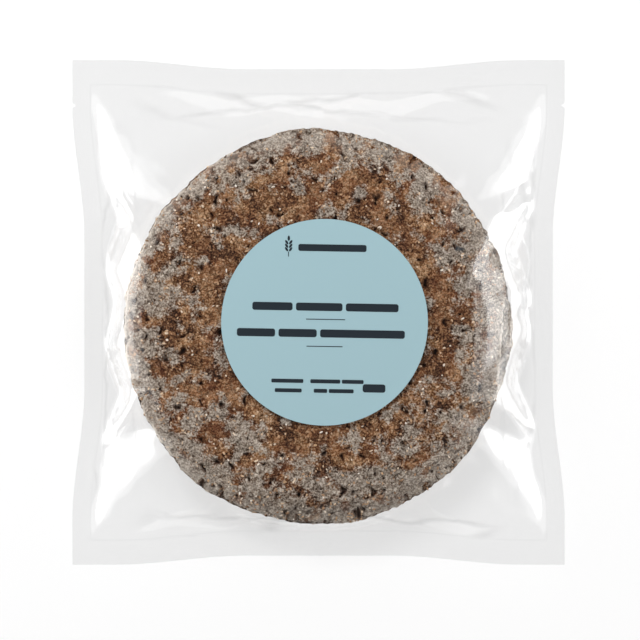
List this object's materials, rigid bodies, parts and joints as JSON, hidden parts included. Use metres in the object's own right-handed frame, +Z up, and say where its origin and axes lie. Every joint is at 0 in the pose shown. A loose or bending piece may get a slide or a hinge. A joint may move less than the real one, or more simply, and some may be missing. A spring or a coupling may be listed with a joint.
{
  "type": "pack of pita bread",
  "caption": "Square clear film pouch, heat-sealed all round, that holds a stack of round wholemeal pita breads, with a round pale blue label on top.",
  "frame": {"origin": "under the middle of the pouch's outline, on the plane that the pack rests on", "axes": "+Z up through the stack and the label, +Y towards the end with the tear notches, +X to the right as the label is read"},
  "size_m": [0.24, 0.246, 0.0266],
  "materials": {
    "film": "clear glossy plastic film over brown bread",
    "label_paper": "smooth pale blue printed paper"
  },
  "bodies": {
    "root": {"pouch": "film", "label": "label_paper"}
  },
  "joints": []
}
